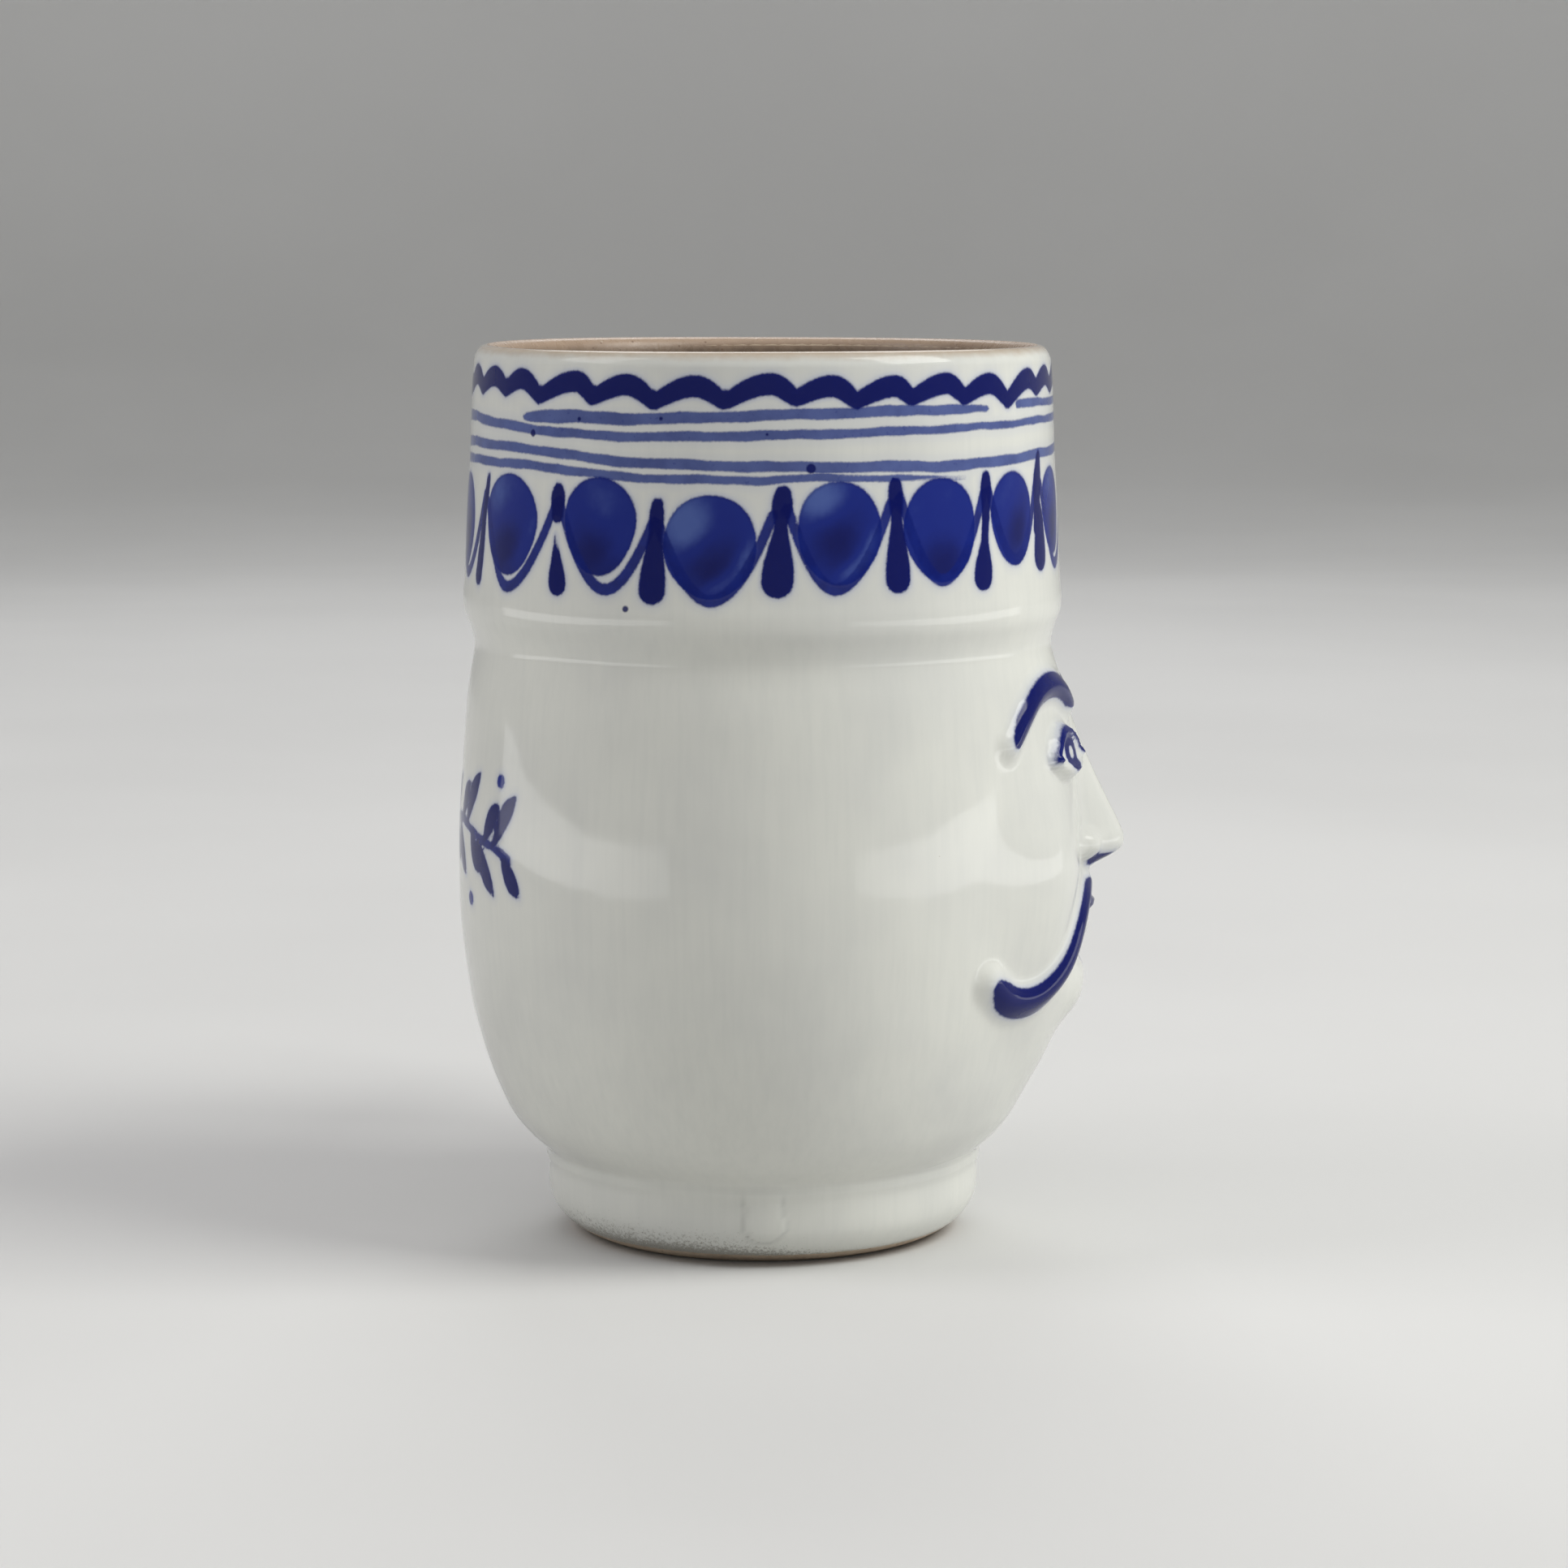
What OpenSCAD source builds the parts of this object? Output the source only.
// Face mug in white-glazed stoneware with cobalt brushwork.
// Millimetres, +Z up, origin on the cup's axis at the standing plane.
// The face looks along -Y and the handle stands out along +X.

/* [Cup] */
// Overall height, from the standing plane to the lip's crest
height = 120; // [110:1:130]
// Fired clay wall at mid height
wall = 4.2; // [3.4:0.1:5]
// Clay between the cup's floor and the foot's recess
floor_t = 7; // [6:0.5:9]
// Thickness of the lip, measured across its crest
lip_t = 3.8; // [3:0.1:4.5]
// Glaze thickness on the outside
glaze_t = 0.4; // [0.2:0.05:0.6]
// Glaze thickness inside the cup
liner_t = 0.3; // [0.2:0.05:0.6]

/* [Foot] */
// Radius of the foot's wall, glaze included
foot_r = 29.3; // [28:0.1:30]
// Height of the luted foot ring
foot_h = 9.3; // [8:0.1:9.5]
// Radius of the recess inside the foot ring
recess_r = 17; // [15:0.5:17]
// Depth of the recess
recess_h = 5; // [4.5:0.5:6]
// How far the heel's rounding goes in
heel_in = 8; // [4:0.5:8.5]
// Height at which the heel's rounding starts
heel_up = 6.4; // [4:0.2:7]

/* [Handle] */
// Height of the handle's upper limb
grip_top_z = 94; // [90:1:98]
// Height of the handle's lower limb
grip_low_z = 42; // [38:1:48]
// Distance of the grip's centreline from the cup's axis
grip_x = 67; // [62:1:70]
// Width of the strap, across the mug
strap_w = 14; // [11:0.5:17]
// Thickness of the strap
strap_t = 8; // [6:0.5:9]

/* [Face] */
// Height of the brow line; thirds run from brow to nose base to chin
brow_z = 74; // [70:1:76]
// Height of one third of the face
third = 23; // [20:0.5:24]
// Angle round the cup of one eye's width
eye_a = 15.4; // [13:0.1:17]
// How far the nose's tip stands out
nose_h = 7.6; // [5:0.1:9]
// Height of the clay coils that carry the brows and the moustache
coil_h = 1.5; // [0.8:0.1:2.2]

/* [Brushwork] */
// Thickness that a brush stroke stands on the glaze
stroke_t = 0.15; // [0.1:0.05:0.3]
// Waves in the line under the lip
waves = 29; // [20:1:32]
// Ovals in the petal band, with as many loops and drops
petals = 15; // [12:1:18]

/* [Hidden] */
$fn = 96;

clay_tan = [0.72, 0.60, 0.48];
glaze_white = [0.86, 0.86, 0.82];
cobalt = [0.05, 0.08, 0.45];
cobalt_thin = [0.30, 0.37, 0.70];

face_dir = 270;
back_dir = 90;
nose_z = brow_z - third;
chin_z = nose_z - third;
eye_z = brow_z - third / 3;
mouth_z = nose_z - third / 3;
lift = 0.02;

// Outlines are lists of [radius, height] that a smooth curve runs through, drawn for a cup 120 high.
rim_r = 38.65;
lip_h = 1.6;
// The bead and the groove where the cup stands on its foot.
waist_outline = [
    [foot_r, foot_h], [foot_r + 0.3, foot_h + 1.1], [foot_r + 0.2, foot_h + 2], [foot_r + 1.1, foot_h + 3],
    [foot_r + 2.9, foot_h + 4.7]
];
// Belly, neck groove, ledge and collar.
cup_outline = [
    [34.2, 16.5], [35.7, 19.5], [37.1, 23], [38.3, 27], [39.5, 32], [40.4, 38], [40.95, 44], [41.15, 52],
    [40.85, 60], [40.25, 68], [39.85, 73], [39.45, 76], [39.0, 78.5], [38.8, 80.5], [39.3, 82.5],
    [40.05, 84.5], [40.25, 86.5], [40.1, 88.5], [39.9, 92], [39.6, 98], [39.25, 105], [38.95, 112]
];
// The cup's inside, from its floor up, for a wall 4.2 thick.
bowl_outline = [
    [16, 0], [24, 0.3], [28.6, 2.4], [31.6, 6.5], [33.7, 13], [35.6, 22],
    [36.6, 32], [36.95, 41], [36.6, 52], [35.9, 62], [35.4, 70], [35.3, 78], [35.2, 90], [34.85, 104]
];
stretch = height / 120;
steps = 3;

// A smooth curve through a list of points.
function curve_point(a, b, c, d, t) =
    0.5 * (2 * b + (c - a) * t + (2 * a - 5 * b + 4 * c - d) * t * t + (3 * b - a - 3 * c + d) * t * t * t);
function curve(p, n) = let (last = len(p) - 1) [
    for (i = [0 : last - 1], k = [0 : n - 1])
        curve_point(p[max(i - 1, 0)], p[i], p[i + 1], p[min(i + 2, last)], k / n),
    p[last]
];

// The same outline moved sideways by d, to the left of its direction.
function side_of(p, i) = let (
    a = p[max(i - 1, 0)], b = p[min(i + 1, len(p) - 1)], v = (b - a) / norm(b - a)
) [-v[1], v[0]];
function moved(p, d) = [for (i = [0 : len(p) - 1]) p[i] + d * side_of(p, i)];

heel_arc = [for (t = [0 : 15 : 90]) [foot_r - heel_in * (1 - sin(t)), heel_up * (1 - cos(t))]];
lip_r = rim_r - lip_t / 2;
function lip_point(t) = [lip_r + lip_t / 2 * cos(t), height - lip_h + lip_h * sin(t)];
lip_out = [for (t = [10 : 16 : 90]) lip_point(t)];
lip_in = [for (t = [90 : 15 : 165]) lip_point(t)];

floor_z = recess_h + floor_t;
cup_line = curve(concat(
    waist_outline, [for (p = cup_outline) [p[0], p[1] * stretch]], [[rim_r, height - lip_h]]
), steps);
bowl_line = curve([for (p = bowl_outline) [p[0] + 4.2 - wall, floor_z + p[1] * stretch]], steps);
outside = concat(cup_line, lip_out);
inside = concat([[0, floor_z]], bowl_line, [for (i = [len(lip_in) - 1 : -1 : 0]) lip_in[i]]);
clay_outside = moved(outside, glaze_t);
clay_inside = moved(inside, -liner_t);

function reversed(p) = [for (i = [len(p) - 1 : -1 : 0]) p[i]];
function not_on_axis(p) = [for (q = p) [max(q[0], 0), q[1]]];

// Radius of the glazed cup at a height.
cup_table = [for (p = cup_line) [p[1], p[0]]];
function cup_r(z) = lookup(z, cup_table);

// ---- Relief laid on the cup: a path of [angle, height, half width, rise], swept as one solid ----
// A section's points are [across, up] in shares of the half width and the rise; below 0, up is a depth in mm.
function on_cup(angle, z, rise) = let (r = cup_r(z) + rise) [r * cos(angle), r * sin(angle), z];
function mm_to_angle(d, z) = d * 180 / (PI * cup_r(z));
function heading(path, i) = let (
    p = path[max(i - 1, 0)], q = path[min(i + 1, len(path) - 1)],
    v = [(q[0] - p[0]) / mm_to_angle(1, path[i][1]), q[1] - p[1]]
) v / norm(v);
function ring(path, i, dir, section) = let (s = path[i], t = heading(path, i)) [
    for (c = section) on_cup(
        dir + s[0] - mm_to_angle(c[0] * s[2] * t[1], s[1]), s[1] + c[0] * s[2] * t[0],
        c[1] < 0 ? c[1] : lift + c[1] * s[3]
    )
];
// Triangles that close a section like the rungs of a ladder, so a crescent closes too.
function cap(m) = [for (k = [0 : floor(m / 2) - 1]) each [
    if (k + 1 < m - 1 - k) [k, k + 1, m - 1 - k],
    if (k + 1 < m - 2 - k) [k + 1, m - 2 - k, m - 1 - k]
]];
function turned(faces, n) = [for (f = faces) [f[0] + n, f[2] + n, f[1] + n]];

module relief(path, dir, section) {
    n = len(path);
    m = len(section);
    points = [for (i = [0 : n - 1]) each ring(path, i, dir, section)];
    sides = [for (i = [0 : n - 2], k = [0 : m - 1]) let (
        a = i * m + k, b = i * m + (k + 1) % m, c = a + m, d = b + m
    ) each [[a, c, b], [b, c, d]]];
    polyhedron(points, concat(sides, cap(m), turned(cap(m), (n - 1) * m)));
}

sunk = glaze_t + 0.5;
arc_steps = [for (t = [0 : 30 : 180]) [cos(t), sin(t)]];
sprig_section = concat(arc_steps, [[-1, -sunk], [1, -sunk]]);
paint_skin = 1.1;
coat_section = concat(
    [for (t = [30 : 30 : 150]) paint_skin * [cos(t), sin(t)]], [for (t = [150 : -30 : 30]) [cos(t), sin(t)]]
);
stroke_section = [[1, 0], [0.9, 1], [0, 1], [-0.9, 1], [-1, 0], [0, 0]];
broad_section = [
    [1, 0], [0.92, 1], [0.5, 1], [0, 1], [-0.5, 1], [-0.92, 1], [-1, 0], [-0.5, 0], [0, 0], [0.5, 0]
];

// What the clay's outside encloses.
module clay_blank() rotate_extrude() polygon(concat([[0, foot_h]], clay_outside, [[0, height]]));

// Half widths that round a path's two ends off, for a place t from 0 to 1 along it.
function rounded(t) = sqrt(max(1 - pow(2 * t - 1, 2), 0.02));
function blunt(t, end) = min(1, sqrt(max(min(t, 1 - t) / end, 0.06)));
function flip(path, side) = [for (s = path) [side * s[0], s[1], s[2], s[3]]];
// A path smoothed, with its width and rise w and h blunted over its ends.
function stroke_path(knots, n, w, h, end) = let (p = curve(knots, n), last = len(p) - 1) [
    for (i = [0 : last]) [p[i][0], p[i][1], w * blunt(i / last, end), h * blunt(i / last, end)]
];

// ---- The clay ----
module cup_body() color(clay_tan) rotate_extrude() polygon(not_on_axis(concat(
    [[0, recess_h], [recess_r, recess_h], [recess_r, foot_h]], clay_outside, reversed(clay_inside)
)));

module foot_ring() color(clay_tan) rotate_extrude() polygon(concat(
    [[recess_r, foot_h], [recess_r, 0.8], [recess_r + 0.8, 0]],
    [for (p = heel_arc) p[1] < 1.5 ? p : p - [glaze_t, 0]],
    [[foot_r - glaze_t, foot_h]]
));

module strap() {
    r_top = 17;
    r_low = 21;
    root_x = 30;
    module section() {
        square([strap_t, strap_w - strap_t], center = true);
        for (s = [-1, 1]) translate([0, s * (strap_w - strap_t) / 2]) circle(d = strap_t);
    }
    module limb(x, z, length) translate([x, 0, z]) rotate([0, 90, 0]) linear_extrude(length) section();
    module bend(x, z, r, from) translate([x, 0, z]) rotate([90, 0, 0])
        rotate_extrude(angle = 90, start = from) translate([r, 0]) section();
    limb(root_x, grip_top_z, grip_x - r_top - root_x);
    bend(grip_x - r_top, grip_top_z - r_top, r_top, 0);
    translate([grip_x, 0, grip_low_z + r_low])
        linear_extrude(grip_top_z - grip_low_z - r_top - r_low) section();
    bend(grip_x - r_low, grip_low_z + r_low, r_low, 270);
    limb(root_x, grip_low_z, grip_x - r_low - root_x);
}

module handle() color(glaze_white) difference() {
    strap();
    clay_blank();
}

// ---- The glaze ----
module outer_glaze() color(glaze_white) difference() {
    rotate_extrude() polygon(concat(
        [for (p = heel_arc) if (p[1] > 1) p], outside, reversed(clay_outside),
        [for (p = reversed(heel_arc)) if (p[1] > 1) p - [glaze_t, 0]]
    ));
    strap();
    for (side = [-1, 1]) {
        brow_relief(side);
        eye_relief(side);
        eyelid_relief(side);
        moustache_relief(side);
    }
    nose_relief();
    upper_lip_relief();
    lower_lip_relief();
    chin_relief();
}

module inner_glaze() color(clay_tan)
    rotate_extrude() polygon(not_on_axis(concat(inside, reversed(clay_inside))));

// A glaze run: a drop that ran down the foot's wall and set there.
run_dir = 180;
run_t = 0.3;
run_r = 2.9;
run_neck = 1.9;
run_z = 7;
module glaze_run() color(glaze_white) rotate([0, 0, run_dir]) intersection() {
    difference() {
        rotate_extrude() polygon(concat(
            [for (p = heel_arc) if (p[1] > 2) p + [run_t, 0]],
            [[foot_r + run_t, foot_h], [foot_r - run_r, foot_h], [foot_r - run_r, run_z - run_r]]
        ));
        rotate_extrude() polygon(concat([[0, 0]], heel_arc, [[foot_r, foot_h + 1], [0, foot_h + 1]]));
    }
    translate([foot_r - run_r, 0, run_z]) rotate([0, 90, 0]) {
        cylinder(r = run_r, h = 2 * run_r);
        translate([-run_r, -run_neck, 0]) cube([run_r, 2 * run_neck, 2 * run_r]);
    }
}

// ---- The face, in clay sprigs that start on the cup's clay and rise through the glaze ----
module sprig() color(glaze_white) difference() {
    children();
    clay_blank();
}

nose_path = concat(
    [for (k = [0 : 11]) let (t = k / 11) [
        0, brow_z - 4 - (third - 4) * t, 2.4 + 3.4 * pow(t, 1.5), 0.8 + (nose_h - 0.8) * pow(t, 1.25)
    ]],
    [[0, nose_z - 1, 5.2, nose_h * 0.86], [0, nose_z - 1.6, 3.6, nose_h * 0.4]]
);
module nose_relief() relief(nose_path, face_dir, sprig_section);
module nose() sprig() nose_relief();

// A brow starts over the eye's inner corner, peaks near its outer corner and ends 2.4 eye widths out.
brow_knots = [
    for (k = [[0.5, -0.07], [0.78, 0.01], [1.1, 0.06], [1.43, 0.065], [1.75, 0.02], [2.08, -0.09], [2.4, -0.23]])
        [k[0] * eye_a, k[1] * third]
];
brow_path = stroke_path([for (k = brow_knots) [k[0], k[1] + brow_z]], 2, 2.2, coil_h, 0.16);
module brow_relief(side) relief(flip(brow_path, side), face_dir, sprig_section);
module left_brow() sprig() brow_relief(1);
module right_brow() sprig() brow_relief(-1);

module dome_relief(angle, z, half_w, half_h, rise) relief([
    for (t = [0 : 0.1 : 1]) [
        angle + mm_to_angle(half_w * (1 - 2 * t), z), z, half_h * rounded(t), rise * rounded(t)
    ]
], face_dir, sprig_section);
module eye_relief(side) dome_relief(side * eye_a, eye_z, 5.2, 2.3, 2);
module left_eye() sprig() eye_relief(1);
module right_eye() sprig() eye_relief(-1);

// Each eye has a clay coil for the upper lid and one for the lower, which meet the eyeball's edge.
module eyelid_relief(side) for (up = [-1, 1]) relief(flip([
    for (t = [0 : 0.1 : 1]) let (bow = sin(180 * t)) [
        eye_a + (2 * t - 1) * 8.4, eye_z + up * (0.9 + 2.6 * bow), 0.4 + 0.3 * bow, 0.5 + 1.5 * bow
    ]
], side), face_dir, sprig_section);
module eyelids(side) sprig() difference() {
    eyelid_relief(side);
    eye_relief(side);
}
module left_eyelids() eyelids(1);
module right_eyelids() eyelids(-1);

// A moustache starts under the nostril, passes outside the mouth's corner and turns up at its tip, 2.8 eye widths out.
moustache_knots = [
    for (k = [
        [0.3, -0.15], [0.62, -0.215], [0.91, -0.32], [1.17, -0.48], [1.46, -0.61], [1.82, -0.7], [2.18, -0.72],
        [2.5, -0.68], [2.8, -0.57]
    ]) [k[0] * eye_a, k[1] * third]
];
moustache_path = stroke_path([for (k = moustache_knots) [k[0], k[1] + nose_z]], 2, 2.6, coil_h + 0.2, 0.12);
module moustache_relief(side) relief(flip(moustache_path, side), face_dir, sprig_section);
module left_moustache() sprig() moustache_relief(1);
module right_moustache() sprig() moustache_relief(-1);

module lip_relief(z, half_w, half_h, rise) relief([
    for (t = [0 : 0.1 : 1]) [
        half_w * (1 - 2 * t), z + 0.8 * pow(2 * t - 1, 2), half_h * rounded(t), rise * rounded(t)
    ]
], face_dir, sprig_section);
module upper_lip_relief() lip_relief(mouth_z + 1.5, 10, 1.3, 1.7);
module lower_lip_relief() lip_relief(mouth_z - 1.5, 8.5, 1.6, 2.1);
module upper_lip() sprig() upper_lip_relief();
module lower_lip() sprig() lower_lip_relief();
module chin_relief() dome_relief(0, chin_z + 4.6, 8.5, 4.4, 2.8);
module chin() sprig() chin_relief();

// ---- The brushwork, in cobalt ----
wave_z = height - 4.9;
wave_swing = 0.9;
wave_half_w = 1.15;
wave_steps = 6;
wave_turn = 360 / (waves * wave_steps);
half_turn = ceil(waves * wave_steps / 2);
// Each half turn of the wave is one stroke. Its crests are round and its troughs are pointed.
module rim_wave() color(cobalt) for (half = [0, 1]) relief([
    for (k = [half * half_turn : half == 0 ? half_turn : waves * wave_steps])
        [k * wave_turn, wave_z + wave_swing * (2 * abs(cos(k * 180 / wave_steps)) - 1), wave_half_w, stroke_t]
], 0, stroke_section);

// Lines painted while the cup turned: [height, first angle, last angle].
line_w = 1.2;
module line_stroke(z, from, to) color(cobalt_thin) rotate([0, 0, from])
    rotate_extrude(angle = to - from) translate([cup_r(z) + lift, z - line_w / 2]) square([stroke_t, line_w]);
upper_line_strokes = [
    [height - 8.1, 128, 229], [height - 7.3, 239, 416], [height - 10.4, -60, 296]
];
lower_line_strokes = [
    [height - 14.3, 40, 396], [height - 16, 100, 222], [height - 16, 250, 440]
];
module upper_lines() for (s = upper_line_strokes) line_stroke(s[0], s[1], s[2]);
module lower_lines() for (s = lower_line_strokes) line_stroke(s[0], s[1], s[2]);

// Petal band: one oval in each loop, and a drop hanging where two loops meet.
petal_a = 360 / petals;
drop_dir = 183.5;
petal_top = height - 16.6;
oval = [5.6, 12.4];
drop = [1.4, 14];
loop_half_w = 0.7;
loop_low = petal_top - 14.1;
loop_rise = 11;
loop_a = petal_a - 5.6;
module petal_ovals() color(cobalt) for (i = [0 : petals - 1]) relief([
    for (t = [0 : 0.125 : 1]) [0, petal_top - oval[1] * t, oval[0] * rounded(t), stroke_t]
], drop_dir + (i + 0.5) * petal_a, broad_section);
module petal_loops() color(cobalt) for (i = [0 : petals - 1]) relief([
    for (k = [-6 : 6]) [k / 12 * loop_a, loop_low + loop_rise * pow(abs(k / 6), 2.2), loop_half_w, stroke_t]
], drop_dir + (i + 0.5) * petal_a, stroke_section);
module petal_drops() color(cobalt) for (i = [0 : petals - 1]) relief([
    for (k = [0 : 6]) let (t = k / 6) [
        0, petal_top - drop[1] * t, drop[0] * (t < 1 ? 0.35 + 0.65 * pow(t, 1.5) : 0.45), stroke_t
    ]
], drop_dir + i * petal_a, stroke_section);

// Cobalt brushed along the coils' crests.
module brow_strokes() color(cobalt) for (side = [-1, 1])
    relief(flip(brow_path, side), face_dir, coat_section);
module moustache_strokes() color(cobalt) for (side = [-1, 1])
    relief(flip(moustache_path, side), face_dir, coat_section);

iris_rise = 2.03;
module iris_rings() color(cobalt) for (side = [-1, 1]) rotate([0, 0, face_dir + side * eye_a])
    translate([cup_r(eye_z) + iris_rise, 0, eye_z]) rotate([0, 90, 0]) difference() {
        cylinder(r = 2, h = stroke_t * 2);
        translate([0, 0, -1]) cylinder(r = 0.8, h = 3);
    }
module nostril_dabs() color(cobalt) difference() {
    for (side = [-1, 1]) relief([
        for (k = [0 : 4]) [side * (4.6 + 0.3 * k), nose_z - 1.4 - 0.3 * k, 0.8 - 0.1 * k, stroke_t * 2]
    ], face_dir, stroke_section);
    nose_relief();
    for (side = [-1, 1]) moustache_relief(side);
}
module chin_dab() color(cobalt) difference() {
    relief([
        for (t = [0 : 0.2 : 1]) [0, mouth_z - 3.6 - 3.2 * t, 1.7 * rounded(t), stroke_t * 2]
    ], face_dir, stroke_section);
    chin_relief();
    lower_lip_relief();
}

// A leafy sprig on the back: a waving stem with leaves in pairs along it.
sprig_z = 57;
sprig_half = 38;
function stem_z(a) = sprig_z + 1.6 * sin(a * 6);
module back_sprig() color(cobalt) {
    relief([for (k = [0 : 18]) let (a = (k / 9 - 1) * sprig_half) [a, stem_z(a), 0.45, stroke_t]],
        back_dir, stroke_section);
    for (k = [0 : 8], up = [-1, 1]) let (a = (k / 4 - 1) * (sprig_half - 5)) relief([
        for (j = [0 : 5]) let (t = j / 5) [
            a + 1 + 4.4 * t, stem_z(a) + up * (1.0 + 5 * pow(t, 0.8)), 0.25 + 1.35 * sin(180 * t), stroke_t
        ]
    ], back_dir, stroke_section);
}

cup_body();
foot_ring();
handle();
outer_glaze();
inner_glaze();
glaze_run();
nose();
left_brow();
right_brow();
left_eye();
right_eye();
left_eyelids();
right_eyelids();
left_moustache();
right_moustache();
upper_lip();
lower_lip();
chin();
rim_wave();
upper_lines();
lower_lines();
petal_ovals();
petal_loops();
petal_drops();
brow_strokes();
moustache_strokes();
iris_rings();
nostril_dabs();
chin_dab();
back_sprig();
